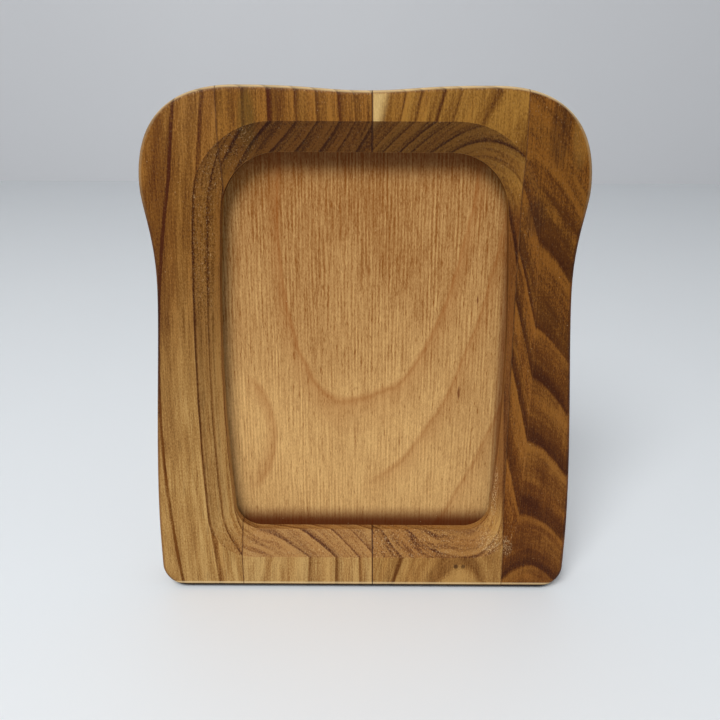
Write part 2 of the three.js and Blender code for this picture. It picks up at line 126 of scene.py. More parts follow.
class Graph:
    """A procedural material, built from short calls that take signals or plain values."""

    def __init__(self, name):
        self.material = bpy.data.materials.new(name)
        self.material.use_nodes = True
        self.tree = self.material.node_tree
        self.tree.nodes.clear()

    def node(self, kind, inputs=None, **settings):
        node = self.tree.nodes.new("ShaderNode" + kind)
        for key, value in settings.items():
            setattr(node, key, value)
        for key, value in (inputs or {}).items():
            self.feed(node.inputs[key], value)
        return node

    def feed(self, socket, value):
        if isinstance(value, Signal):
            self.tree.links.new(value.socket, socket)
        else:
            socket.default_value = value

    def out(self, node, key=0):
        return Signal(self, node.outputs[key])

    def math(self, operation, *values):
        return self.out(self.node("Math", dict(enumerate(values)), operation=operation))

    def hypot(self, across, along):
        return self.math("SQRT", across * across + along * along)

    def clamp(self, value):
        return self.out(self.node("Clamp", {"Value": value}))

    def place(self, lean, origin):
        """Signals across, behind and up a board that leans back, in millimetres from an origin."""
        source = self.out(self.node("TexCoord"), "Object")
        inputs = {"Vector": source, "Location": origin, "Rotation": (lean, 0, 0), "Scale": (1 / MM,) * 3}
        mapped = self.out(self.node("Mapping", inputs))
        parts = self.node("SeparateXYZ", {"Vector": mapped})
        return [self.out(parts, axis) for axis in "XYZ"]

    def board(self):
        half = BOARD_THICKNESS / 2
        return self.place(LEAN, (0, half, half * math.tan(LEAN) - FRONT_LIFT))

    def noise(self, x, y, z=0.0, detail=2.0, roughness=0.5):
        vector = self.out(self.node("CombineXYZ", {"X": x, "Y": y, "Z": z}))
        inputs = {"Vector": vector, "Scale": 1.0, "Detail": detail, "Roughness": roughness}
        return self.out(self.node("TexNoise", inputs), "Fac")

    def specks(self, x, y, z, size):
        """Sparse round dots, about one in each unit cell, as a mask."""
        vector = self.out(self.node("CombineXYZ", {"X": x, "Y": y, "Z": z}))
        cells = self.node("TexVoronoi", {"Vector": vector, "Scale": 1.0})
        return self.smooth(self.out(cells, "Distance"), size, 0.4 * size)

    def smooth(self, value, start, end, low=0.0, high=1.0):
        inputs = {"Value": value, "From Min": start, "From Max": end, "To Min": low, "To Max": high}
        return self.out(self.node("MapRange", inputs, interpolation_type="SMOOTHSTEP"))

    def ramp(self, value, stops):
        """A level that runs straight between stops, each a place on the value's scale and a level."""
        first, last = stops[0][0], stops[-1][0]
        share = (value - first) / (last - first)
        colours = [((place - first) / (last - first), (level,) * 3 + (1.0,)) for place, level in stops]
        return self.palette(share, colours)

    def palette(self, share, stops):
        node = self.node("ValToRGB", {"Fac": share})
        elements = node.color_ramp.elements
        for place, colour in stops[1:-1]:
            elements.new(place).color = colour
        elements[0].position, elements[0].color = stops[0]
        elements[-1].position, elements[-1].color = stops[-1]
        return self.out(node)

    def blend(self, share, below, above, mode="MIX"):
        node = self.node("Mix", data_type="RGBA", blend_type=mode)
        for key, value in ((0, share), (6, below), (7, above)):
            self.feed(node.inputs[key], value)
        return Signal(self, node.outputs[2])

    def bump(self, height, strength=1.0):
        """Normals of a surface whose height is given in millimetres."""
        return self.out(self.node("Bump", {"Height": height, "Distance": MM, "Strength": strength}))

    def finish(self, **inputs):
        named = {key.replace("_", " "): value for key, value in inputs.items()}
        shader = self.node("BsdfPrincipled", named)
        output = self.node("OutputMaterial")
        self.tree.links.new(shader.outputs[0], output.inputs["Surface"])
        return self.material


# Growth rings

RING_EDGE = 0.36


def ring_stops(rings, hold):
    """Stops of a ramp over the distance from the pith: each ring starts dark and fades outwards.

    The hold is a share of the way to the next ring, and the share of the darkness left there.
    """
    share, left = hold
    gaps = [after[0] - ring[0] for ring, after in zip(rings, rings[1:])]
    stops = []
    for (radius, darkness), gap in zip(rings, gaps + gaps[-1:]):
        stops.append((radius - RING_EDGE, 0.0))
        stops.append((radius, darkness))
        stops.append((radius + share * gap, left * darkness))
    return stops


# A stave's pith line at the middle of the opening, its drift for each 100 mm of rise, and its rings.
# The vein is a dark line that straightens above a rise, and its shade lies beside the first ring.
LEFT_PITH = {"at": (-105.0, -71.2), "drift": (-3.1, 2.2), "bow": 5.9}
LEFT_VEIN = {
    "at": -87.6, "drift": 6.4, "bow": 8.8, "straightens": (0.75, 0.4),
    "shade": [(72.0, 0.4), (74.0, 0.45), (75.4, 0.2), (76.4, 0.25), (77.5, 0.42), (78.38, 0.2)],
}
LEFT_RINGS = [(78.6, 1.0), (83.9, 0.85), (89.0, 0.8), (94.2, 0.9), (99.4, 0.7), (104.5, 0.8)]
INNER_LEFT_PITH = {"at": (-81.9, -108.0), "drift": (-13.6, 6.4), "bow": 0.0}
INNER_LEFT_RINGS = [
    (107.5, 0.7), (112.2, 0.8), (116.8, 0.9), (122.4, 0.8), (127.2, 0.9),
    (132.5, 0.9), (136.6, 0.7), (141.5, 0.8), (146.3, 0.7), (151.0, 0.8),
]
INNER_LEFT_FOOT_RINGS = [(116.8, 0.5)] + INNER_LEFT_RINGS[3:]
INNER_RIGHT_PITH = {"at": (56.9, 69.0), "drift": (11.1, 8.1), "bow": 0.0}
INNER_RIGHT_RINGS = [
    (55.0, 0.45), (61.1, 0.65), (67.2, 0.95), (72.0, 0.5), (75.9, 0.8),
    (79.6, 0.8), (84.0, 0.7), (86.6, 0.8), (90.8, 0.8), (94.1, 0.7),
]
RIGHT_PITH = {"at": (65.6, 71.7), "drift": (-11.2, 16.8), "bow": 0.0}
RIGHT_RINGS = [
    (50.4, 0.8), (55.1, 0.9), (59.65, 0.95), (65.7, 0.95),
    (70.9, 0.95), (74.9, 0.78), (80.95, 0.72), (87.5, 0.3), (93.0, 0.3),
]
THIN_FADE = (0.2, 0.42)
BROAD_FADE = (0.28, 0.58)

# Palettes run from the pale wood before a ring, over the usual wood, to the dark start of the next
PALETTE_PLACES = (0.0, 0.42, 1.0)
# Where a crest palette is darker than its foot one, that is painted shade above and painted light from
# the table below
CREST_TO_FOOT = (175.0, 35.0)
PALE_CREST = (tint(150, 103, 44), tint(116, 73, 22), tint(68, 26, 0))
PALE_FOOT = (tint(198, 159, 97), tint(170, 127, 69), tint(108, 60, 8))
BROWN = (tint(147, 99, 37), tint(106, 65, 17), tint(68, 25, 0))
GOLDEN_CREST = (tint(156, 111, 45), tint(122, 80, 26), tint(70, 30, 0))
GOLDEN_FOOT_LEFT = (tint(198, 160, 99), tint(163, 120, 66), tint(102, 56, 8))
GOLDEN_FOOT_RIGHT = (tint(186, 143, 80), tint(151, 107, 53), tint(98, 53, 8))
DARK_CREST = (tint(128, 81, 25), tint(84, 47, 8), tint(58, 24, 0))
DARK = (tint(142, 91, 33), tint(103, 57, 11), tint(64, 26, 0))
SAPWOOD = tint(210, 176, 114)
MOSS = tint(112, 90, 34)
# A painted highlight on the right shoulder's edge
PAINTED_GLEAM = tint(192, 142, 64)
DUSK = tint(58, 29, 8)
MARKS = {"moss": (MOSS, 0.4), "painted_gleam": (PAINTED_GLEAM, 0.25), "dusk_and_shade": (DUSK, 0.7), "knots": (DUSK, 1.0)}
WARM = (1.0, 0.84, 0.66, 1.0)
# Painted shade for the foot's lowest rounding, standing in for the shadowed gap under the board
PAINTED_FOOT_SHADE = (0.12, 0.1, 0.08, 1.0)
RAW_FIBRE = tint(222, 186, 134)
ARRIS = tint(206, 148, 84)
HEARTWOOD = (0.52, 0.38, 0.3, 1.0)
# End grain facing down, darkened further as painted shade
END_GRAIN_AND_SHADE_BELOW = (0.48, 0.41, 0.34, 1.0)
END_GRAIN_ABOVE = (0.71, 0.6, 0.51, 1.0)
CUT_RING = (0.55, 0.42, 0.34, 1.0)
# Painted shade for the rounded side edges
PAINTED_SIDE_SHADE = (0.62, 0.5, 0.36, 1.0)
GLUE_STAIN = (0.42, 0.3, 0.26, 1.0)
# Pale paint for painted highlights on the top rounding and just above the foot
PAINTED_EDGE_HIGHLIGHT = tint(234, 206, 154)

# Where the edges change, as start and end of a soft step in millimetres
RIM_OUTSIDE = (76.0, 80.0)
SHOULDER_RISE = (165.0, 190.0)
CROWN_RISE = (198.0, 206.0)
FOOT_HIGHLIGHT_TOP = (3.0, 2.4)
FOOT_HIGHLIGHT_BOTTOM = (1.5, 1.9)
FOOT_SHADE_SPAN = (1.9, 1.5)
ARRIS_RADIUS = 0.5
STAIN_REACH = 0.65
ARRIS_GAP = 1.8
ARRIS_GAP_LEVELS = (1.0, 1.0, 1.0)

# Textures of the wood: cells for each millimetre across and along the fibres, detail and roughness
GRAIN = {
    "wander": (0.04, 0.014, 2.0, 0.5),
    "jitter": (0.9, 0.08, 2.0, 0.5),
    "fibre": (1.5, 0.06, 3.0, 0.6),
    "stipple": (2.2, 0.9, 2.0, 0.6),
    "pore": (1.9, 0.09, 2.0, 0.5),
    "cloud": (0.045, 0.017, 2.0, 0.5),
    "speckle": (1.4, 1.4, 2.0, 0.6),
    "glint": (1.8, 1.0, 3.0, 0.7),
    "tear": (2.1, 1.3, 3.0, 0.7),
}
# Textures that follow the rings: cells for each millimetre outwards, up and across, detail, roughness
RING_GRAIN = {
    "streak": (0.55, 0.008, 0.03, 5.0, 0.7),
    "ripple": (1.4, 0.05, 0.09, 2.0, 0.5),
    "hatch": (1.0, 0.1, 0.1, 2.0, 0.5),
    "warm": (0.35, 0.006, 0.02, 3.0, 0.5),
}
WARM_SHIFT = 5.0
# How much each of them and each state of the surface darkens the wood
DARKENS = {
    "always": 0.12, "ring": 0.64, "ring_core": 0.2, "cloud": 0.5, "cut": -0.08, "fibre": 0.9,
    "ripple": 0.6, "ripple_on_end": 0.7, "stipple": 1.2, "stipple_on_end": 0.5,
    "speckle": 0.4, "speckle_raw": 0.4, "speckle_raw_cut": 1.3, "hatch": 2.4,
}
WANDER = 1.0
JITTER = 0.14
CLEARED_RINGS = 0.2
DUST = {"cells": 0.2, "size": 0.06, "on_oil": 0.3, "on_bare": 0.4}

# Gloss of bare and oiled wood, and the share of the fine relief that shows
WOOD_SPECULAR = 0.12
BARE_SPECULAR = 0.1
RELIEF = 0.7


def worn_edge(g, radius):
    """How sharply the surface turns within a radius, in millimetres, as a mask of the arrises."""
    round_normal = g.out(g.node("Bevel", {"Radius": radius * MM}, samples=6))
    true_normal = g.out(g.node("NewGeometry"), "True Normal")
    dot = g.node("VectorMath", {0: round_normal, 1: true_normal}, operation="DOT_PRODUCT")
    return g.smooth(1.0 - g.out(dot, "Value"), 0.01, 0.16)


def facing(g, direction):
    """How far the surface faces a direction, from -1 to 1."""
    normal = g.out(g.node("NewGeometry"), "Normal")
    dot = g.node("VectorMath", {0: normal, 1: direction}, operation="DOT_PRODUCT")
    return g.out(dot, "Value")


FORWARD = (0, -math.cos(LEAN), math.sin(LEAN))
UPWARD = (0, math.sin(LEAN), math.cos(LEAN))
SIDEWAYS = (1, 0, 0)


def seam_stain(g, u, w, reach, strengths):
    """A mask within a reach of the glue lines, with a strength for each of them."""
    upright = u + (w - MIDDLE_HEIGHT) * SEAM_SLANT
    masks = [g.smooth(abs(upright - seam), reach, 0.3 * reach, 0.0, strength)
             for seam, strength in zip(SEAMS, strengths)]
    return sum(masks)


def patches(g, u, d, w, places):
    """Soft round patches, each a middle and three half-sizes in millimetres, as a mask."""
    mask = 0.0
    for middle, reach in places:
        steps = [(axis - at) / size for axis, at, size in zip((u, d, w), middle, reach)]
        distance = g.math("SQRT", sum(step * step for step in steps))
        mask = mask + g.smooth(distance, 1.0, 0.5)
    return g.clamp(mask)


def dust(g, u, d, w):
    """Pale specks a few millimetres apart."""
    cells = DUST["cells"]
    return g.specks(u * cells, d * cells, w * cells, DUST["size"])


class Timber(Graph):
    """Oiled solid wood: rings about a tilted pith, streaks that follow them, pores and worn edges."""

    def __init__(self, name, pith, rings, fade, clear, vein, raw):
        super().__init__(name)
        self.u, self.d, self.w = u, d, w = self.board()
        rise = (w - MIDDLE_HEIGHT) / 100
        across = u - (pith["at"][0] + rise * pith["drift"][0] + rise * rise * pith["bow"])
        behind = d - (pith["at"][1] + rise * pith["drift"][1])
        wander = (self.grain("wander") - 0.5) * WANDER
        jitter = (self.grain("jitter") - 0.5) * JITTER
        self.radius = self.hypot(across, behind) + wander + jitter
        self.ring = self.ramp(self.radius, ring_stops(rings, fade))
        if clear:
            self.ring = self.ring * self.smooth(w, *clear, CLEARED_RINGS, 1.0)
        if vein:
            self.ring = self.math("MAXIMUM", self.ring, self.veined(rise, vein))
        self.fibre = self.grain("fibre")
        self.stipple = self.grain("stipple")
        self.cut = self.smooth(facing(self, FORWARD), 0.97, 0.86)
        self.raw = patches(self, u, d, w, raw) if raw else 0.0
        self.climb = facing(self, UPWARD)
        upper_share = self.smooth(self.climb, -0.3, 0.3, 0.6, 1.0)
        self.end_cut = self.smooth(abs(self.climb), 0.12, 0.4) * upper_share
        self.pore = self.smooth(self.grain("pore"), 0.56, 0.68) * (0.35 + self.ring * 0.65)

    def grain(self, kind):
        across, along, detail, roughness = GRAIN[kind]
        return self.noise(self.u * across, self.d * across, self.w * along, detail, roughness)

    def ring_grain(self, kind, shift=0.0):
        outwards, up, across, detail, roughness = RING_GRAIN[kind]
        side = self.u * across + shift
        return self.noise(self.radius * outwards, self.w * up, side, detail, roughness)

    def veined(self, rise, vein):
        """A bowed dark line with a soft outer side, and the shade beside it."""
        start, share = vein["straightens"]
        bend = rise - self.math("MAXIMUM", rise - start, 0.0) * share
        past = self.u - (vein["at"] + bend * vein["drift"] + bend * bend * vein["bow"])
        line = self.smooth(past, -1.7, -0.3) * 0.65 + self.smooth(past, -6.0, 0.0) * 0.35
        line = line * self.smooth(past, 0.8, 0.1)
        return self.math("MAXIMUM", line, self.ramp(self.radius, vein["shade"]))

    def tone(self, figure):
        """How dark the wood is, from 0 in the pale wood before a ring to 1 where a ring starts."""
        ripple = DARKENS["ripple"] + self.end_cut * DARKENS["ripple_on_end"]
        stipple = DARKENS["stipple"] + self.end_cut * DARKENS["stipple_on_end"]
        rough = self.raw * (self.cut * DARKENS["speckle_raw_cut"] + DARKENS["speckle_raw"])
        core = self.smooth(self.ring, 0.45, 0.75)
        level = DARKENS["always"] + self.ring * DARKENS["ring"] + core * DARKENS["ring_core"]
        level = level + (self.ring_grain("streak") - 0.5) * figure
        level = level + (self.ring_grain("ripple") - 0.5) * ripple
        level = level + (self.fibre - 0.5) * DARKENS["fibre"]
        level = level + (self.stipple - 0.5) * stipple
        level = level + (self.grain("speckle") - 0.5) * (rough + DARKENS["speckle"])
        level = level + (self.ring_grain("hatch") - 0.5) * self.raw * self.end_cut * DARKENS["hatch"]
        level = level + (self.grain("cloud") - 0.5) * DARKENS["cloud"]
        return self.clamp(level + self.cut * DARKENS["cut"])

    def wood(self, tone, crest, foot):
        """The bare wood's colour, which changes from the crest of the board to its foot; a darker crest
        and paler foot are painted shade and painted light.
        """
        high = self.palette(tone, list(zip(PALETTE_PLACES, crest)))
        low = self.palette(tone, list(zip(PALETTE_PLACES, foot)))
        colour = self.blend(self.smooth(self.w, *CREST_TO_FOOT), high, low)
        warm = self.ring_grain("warm", WARM_SHIFT)
        return self.blend(self.smooth(warm, 0.4, 0.62, 0.0, 0.35), colour, WARM, "MULTIPLY")

    def marked(self, colour, marks):
        """Patches of another colour, broken up along the fibres; some are a painted highlight or painted
        shade.
        """
        for kind, places in marks.items():
            paint, strength = MARKS[kind]
            share = patches(self, self.u, self.d, self.w, places) * self.clamp(self.fibre * 1.6 - 0.1)
            colour = self.blend(share * strength, colour, paint)
        return colour

    def grained(self, colour, dark, cut_line):
        """Open pores, darker end grain with painted shade on down-facing surfaces, and pale cut fibres
        with painted glints.
        """
        colour = self.blend(self.pore * 0.55, colour, dark)
        colour = self.blend(self.ring * self.cut * cut_line, colour, CUT_RING, "MULTIPLY")
        # Down-facing surfaces: darker end grain and, more strongly, painted shade
        colour = self.blend(self.smooth(self.climb, -0.1, -0.6), colour, END_GRAIN_AND_SHADE_BELOW, "MULTIPLY")
        colour = self.blend(self.smooth(self.climb, 0.1, 0.6), colour, END_GRAIN_ABOVE, "MULTIPLY")
        # Pale fibre specks, with more of them on upward-facing surfaces as painted glints
        glint = self.smooth(self.grain("glint"), 0.56, 0.7)
        rough = self.smooth(self.climb, 0.0, 0.3) * 0.3 + self.raw * self.cut * 0.32
        colour = self.blend(glint * (0.1 + rough), colour, RAW_FIBRE)
        return self.blend(dust(self, self.u, self.d, self.w) * DUST["on_oil"], colour, RAW_FIBRE)

    def edged(self, colour):
        """Side edges with painted shade, stained glue lines, pale arrises where the finish is worn,
        painted highlights on the crown and above the foot, and painted shade on the foot's lowest
        rounding.
        """
        u, w = self.u, self.w
        side = abs(facing(self, SIDEWAYS))
        rim = self.smooth(side, 0.15, 0.5) * self.smooth(side, 0.99, 0.8)
        rim = rim * self.smooth(abs(u), *RIM_OUTSIDE)
        shoulder = self.smooth(w, *SHOULDER_RISE)
        front = self.smooth(facing(self, FORWARD), 0.05, 0.4)
        # Painted shade: rounded side edges below the shoulders are darkened
        colour = self.blend(rim * (1.0 - shoulder) * 0.8, colour, PAINTED_SIDE_SHADE, "MULTIPLY")
        stain_and_shade = seam_stain(self, u, w, STAIN_REACH, SEAM_STAINS)
        colour = self.blend(stain_and_shade, colour, GLUE_STAIN, "MULTIPLY")
        # Painted highlight on the front of the top rounding and, weaker, on the shoulders' side edges
        crown_highlight = self.smooth(self.climb, 0.3, 0.85, 0.0, 0.85) * self.smooth(w, *CROWN_RISE)
        crown_highlight = self.clamp(crown_highlight + rim * shoulder * 0.25) * front
        crown_highlight = crown_highlight * (0.6 + self.stipple * 0.5) * (1.0 - self.ring * 0.5)
        colour = self.blend(crown_highlight, colour, PAINTED_EDGE_HIGHLIGHT)
        beside_seams = 1.0 - seam_stain(self, u, w, ARRIS_GAP, ARRIS_GAP_LEVELS)
        arris = worn_edge(self, ARRIS_RADIUS) * beside_seams
        colour = self.blend(arris * (0.1 + self.stipple * 0.5), colour, ARRIS)
        # Painted highlight: a pale line on the face just above the foot's rounding
        foot_highlight = self.smooth(w, *FOOT_HIGHLIGHT_TOP) * self.smooth(w, *FOOT_HIGHLIGHT_BOTTOM)
        colour = self.blend(foot_highlight * 0.6, colour, PAINTED_EDGE_HIGHLIGHT)
        # Painted shade: the foot's lowest rounding is darkened like the shadowed gap under it
        return self.blend(self.smooth(w, *FOOT_SHADE_SPAN), colour, PAINTED_FOOT_SHADE, "MULTIPLY")


def timber(name, pith, rings, crest, foot, fade=THIN_FADE, figure=1.3, cut_line=0.35, clear=None,
           vein=None, raw=None, sapwood=None, heartwood=None, marks=None, torn=None):
    """A stave's wood, with the marks and the rough places that it has of its own."""
    g = Timber(name, pith, rings, fade, clear, vein, raw)
    u, d, w = g.u, g.d, g.w
    colour = g.wood(g.tone(figure), crest, foot)
    if sapwood:
        share = g.smooth(g.radius, sapwood - 0.8, sapwood + 2.0) * (1.0 - g.cut * 0.7)
        colour = g.blend(share * g.clamp(1.6 - g.fibre * 0.9 - g.stipple * 0.7), colour, SAPWOOD)
    if heartwood:
        above, below = heartwood["above"], heartwood["below"]
        share = g.smooth(u, *heartwood["right_of"]) * g.smooth(w, *above) * g.smooth(w, *below)
        colour = g.blend(share, colour, HEARTWOOD, "MULTIPLY")
    colour = g.edged(g.grained(g.marked(colour, marks or {}), crest[2], cut_line))
    height = (g.fibre - 0.5) * 0.05 + (g.stipple - 0.5) * 0.06 - g.pore * 0.04
    roughness = 0.42 + g.stipple * 0.14 + g.pore * 0.15
    if torn:
        fuzz = patches(g, u, d, w, torn) * g.smooth(g.grain("tear"), 0.5, 0.62)
        colour = g.blend(fuzz * 0.65, colour, RAW_FIBRE)
        height = height + fuzz * 0.08
        roughness = roughness + fuzz * 0.2
    normal = g.bump(height, RELIEF)
    return g.finish(
        Base_Color=colour, Roughness=roughness, Specular_IOR_Level=WOOD_SPECULAR, Normal=normal)


# Plywood: the arched lines of its face lie about a centre, and the innermost has a flat base

PLY_CENTRE = (5.85, 193.0)
PLY_DRIFT = 8.6
PLY_SQUEEZE = 0.384
PLY_LINES = [(41.8, 1.0), (56.6, 0.85), (77.7, 0.8)]
PLY_BASE = {"left": (-14.4, 85.4), "slope": 0.32, "reach": 4.0, "round": 0.8}
PLY_WANDER = 4.0
PLY_TAIL = 6.0
PLY_OUTER_ENDS = (14.0, -2.0)
PLY_LOOP = {"centre": (-56.0, 71.0), "squeeze": 0.55, "radius": 15.0, "starts": (-56.0, -46.0)}
PLY_FLECKS = [(43.3, 92.0, 0.6, 3.6), (49.7, 135.0, 0.4, 2.0)]
OPENING_HALF = 62.1
OPENING_LOW = 24.5
OPENING_HIGH = 197.0
THREAD_PITCH = 1.5
# Painted shade that darkens the panel towards the top
PLY_SHADE_ABOVE = (40.0, 190.0)
BACK_SHIFT = (-37.0, 54.0)
# Painted shade beside the lip, below, above and at the right: where it starts, where it is full, and its
# levels
SHADE_BELOW = (11.0, 1.5, 0.0, 0.92)
SHADE_ABOVE = (13.0, 1.0, 0.0, 0.6)
SHADE_BESIDE = (3.5, 0.0, 0.0, 0.6)
PLY_PALE = tint(224, 180, 116)
PLY_MIDDLE = tint(138, 84, 32)
PLY_LINE = tint(150, 86, 32)
# Dark flecks of the veneer, and the painted shade beside the lip
PLY_FLECK_AND_SHADE = tint(95, 32, 0)
LEG_PALE = tint(216, 174, 116)
LEG_BROWN = tint(150, 100, 52)
LEG_CORE = tint(112, 72, 38)
LEG_LAYERS = [(0.0, 0.0), (0.24, 0.0), (0.3, 1.0), (0.7, 1.0), (0.76, 0.0), (1.0, 0.0)]


def veneer_figure(g, u, w):
    """The cathedral lines of the panel's veneer as a level from 0 to 1."""
    wander = (g.noise(u * 0.07, w * 0.06, 3.0, detail=4.0) - 0.5) * PLY_WANDER
    up = w - PLY_CENTRE[1]
    arch = g.hypot(u - PLY_CENTRE[0] - up * (PLY_DRIFT / 100), up * PLY_SQUEEZE)
    base = (u - PLY_BASE["left"][0]) * PLY_BASE["slope"] + PLY_BASE["left"][1]
    flat = PLY_LINES[0][0] + g.math("MINIMUM", (base - w) * PLY_SQUEEZE, PLY_BASE["reach"])
    arch = g.math("SMOOTH_MAX", arch, flat, PLY_BASE["round"]) + wander * 0.6
    stops = []
    for radius, level in PLY_LINES:
        stops += [(radius - 1.2, 0.0), (radius, level)]
        stops += [(radius + 0.9, 0.5 * level), (radius + PLY_TAIL, 0.0)]
    inner_radius = PLY_LINES[0][0] + PLY_TAIL
    outer = g.smooth(arch, inner_radius, inner_radius + 2.0)
    right_only = 1.0 - outer * g.smooth(u, *PLY_OUTER_ENDS)
    loop_up = (w - PLY_LOOP["centre"][1]) * PLY_LOOP["squeeze"]
    loop = g.hypot(u - PLY_LOOP["centre"][0], loop_up) + wander * 0.5
    ring = PLY_LOOP["radius"]
    side = g.smooth(u, *PLY_LOOP["starts"])
    loop_line = g.ramp(loop, [(ring - 5.0, 0.0), (ring, 0.8), (ring + 1.6, 0.0)])
    return g.ramp(arch, stops) * right_only + loop_line * side


def lip_shade(g, u, w):
    """Painted shade on the panel beside the lip, most of it at the bottom, with a shadow under the top
    lip and a little beside the right side.
    """
    below = g.smooth(w - OPENING_LOW, *SHADE_BELOW)
    above = g.smooth(OPENING_HIGH - w, *SHADE_ABOVE)
    beside = g.smooth(OPENING_HALF - u, *SHADE_BESIDE)
    return g.math("MAXIMUM", g.math("MAXIMUM", below, above), beside)


def plywood(name):
    """A bare rotary-cut face: fine upright streaks, cathedral lines and a few short flecks."""
    g = Graph(name)
    u, d, w = g.board()
    front = g.smooth(facing(g, FORWARD), -0.2, 0.2)
    stain_and_shade = lip_shade(g, u, w) * front
    u = u + (1.0 - front) * BACK_SHIFT[0]
    w = w + (1.0 - front) * BACK_SHIFT[1]
    drift = g.noise(u * 0.2, w * 0.016, 11.0, detail=3.0)
    thread = g.math("SINE", u * (2 * math.pi / THREAD_PITCH) + drift * 12.0)
    swell = g.smooth(g.noise(u * 0.12, w * 0.04, 3.0), 0.35, 0.65, 0.03, 0.13)
    streak = g.noise(u, w * 0.05, d * 0.2, detail=3.0, roughness=0.6)
    stipple = g.noise(u * 2.4, w * 1.0, d * 2.4, detail=2.0, roughness=0.6)
    pore = g.smooth(g.noise(u * 2.6, w * 0.26, d * 0.5, detail=1.0), 0.6, 0.74)
    cloud = g.noise(u * 0.03, w * 0.02, 7.0)
    tone = 0.36 + thread * swell + (streak - 0.5) + (stipple - 0.5) * 0.8 + pore * 0.35
    # Painted shade: the panel is darker towards the top
    tone = g.clamp(tone + (cloud - 0.5) * 0.4 + g.smooth(w, *PLY_SHADE_ABOVE, -0.08, 0.4))
    colour = g.blend(tone, PLY_PALE, PLY_MIDDLE)
    colour = g.blend(g.clamp(veneer_figure(g, u, w) * 0.55), colour, PLY_LINE)
    for at_u, at_w, half_width, half_height in PLY_FLECKS:
        reach = g.hypot((u - at_u) / half_width, (w - at_w) / half_height)
        colour = g.blend(g.smooth(reach, 1.2, 0.4, 0.0, 0.75), colour, PLY_FLECK_AND_SHADE)
    # Painted shade beside the lip
    colour = g.blend(stain_and_shade, colour, PLY_FLECK_AND_SHADE)
    colour = g.blend(dust(g, u, d, w) * DUST["on_bare"], colour, RAW_FIBRE)
    height = (stipple - 0.5) * 0.06 + (streak - 0.5) * 0.08 - pore * 0.06
    roughness = 0.58 + stipple * 0.14
    normal = g.bump(height, RELIEF)
    return g.finish(
        Base_Color=colour, Roughness=roughness, Specular_IOR_Level=BARE_SPECULAR, Normal=normal)


def leg_plywood(name, depths):
    """Thin plywood whose layers show on its edges."""
    g = Graph(name)
    u, d, w = g.place(LEG_LEAN, (0, 0, 0))
    streak = g.noise(u * 0.5, w * 0.014, d * 0.2, detail=3.0, roughness=0.65)
    thread = g.noise(u * 1.8, w * 0.04, d * 0.5)
    pore = g.smooth(g.noise(u * 2.4, w * 0.16, d * 0.6, detail=1.0), 0.58, 0.72)
    tone = g.clamp(0.45 + (streak - 0.5) * 1.8 + (thread - 0.5) + pore * 0.4)
    colour = g.blend(tone, LEG_PALE, LEG_BROWN)
    front, back = depths
    layer = (d - front) / (back - front) + (g.noise(u * 0.1, w * 0.1) - 0.5) * 0.05
    core = g.ramp(layer, LEG_LAYERS)
    stipple = g.noise(u * 2.2, w * 2.2, d * 2.2)
    colour = g.blend(core * (0.35 + stipple * 0.6), colour, LEG_CORE)
    height = (thread - 0.5) * 0.05 + (stipple - 0.5) * 0.03 - pore * 0.05
    return g.finish(Base_Color=colour, Roughness=0.58 + thread * 0.14, Normal=g.bump(height, RELIEF))


# Metal, glue and the stage

BRASS = (tint(212, 176, 104), tint(182, 145, 80))
ZINC = (tint(206, 206, 204), tint(150, 150, 148))
SCRATCH_DEPTH = 0.03
DARK_GLUE = (tint(42, 22, 14), tint(70, 40, 22))
SOFT_GLUE = (tint(84, 50, 24), tint(120, 80, 42))
TABLE = (tint(236, 240, 243), tint(230, 234, 238))
WALL = (tint(234, 235, 238), tint(228, 229, 232))


def metal(name, bright, dull, rough):
    """Stamped sheet or turned metal: dulled in patches, with fine scratches across."""
    g = Graph(name)
    u, d, w = g.board()
    patch = g.noise(u * 0.35, d * 0.35, w * 0.35, detail=4.0)
    line = g.noise(u * 0.6, d * 6.0, w * 9.0, detail=2.0)
    colour = g.blend(g.smooth(patch, 0.35, 0.7), bright, dull)
    height = (line - 0.5) * SCRATCH_DEPTH
    roughness = rough + patch * 0.2
    return g.finish(Base_Color=colour, Metallic=1.0, Roughness=roughness, Normal=g.bump(height, 0.5))


def glue(name, dark, light):
    """A glue line: mostly dark, paler where it was squeezed out and sanded."""
    g = Graph(name)
    u, d, w = g.board()
    share = g.smooth(g.noise(u * 0.3, d * 0.3, w * 0.5), 0.4, 0.65)
    colour = g.blend(share, dark, light)
    return g.finish(Base_Color=colour, Roughness=0.5 + share * 0.1, Specular_IOR_Level=BARE_SPECULAR)


def stage_paint(name, colour, shade):
    """A plain pale surface with a hardly visible mottle."""
    g = Graph(name)
    source = g.node("SeparateXYZ", {"Vector": g.out(g.node("TexCoord"), "Object")})
    x, y, z = [g.out(source, axis) for axis in "XYZ"]
    mottle = g.noise(x * 3.0, y * 3.0, z * 3.0, detail=3.0)
    return g.finish(Base_Color=g.blend(mottle * 0.5, colour, shade), Roughness=0.42 + mottle * 0.1)


# Facets of round edges are shaded as one surface, and arrises stay crisp
SMOOTH_BELOW = math.radians(28)


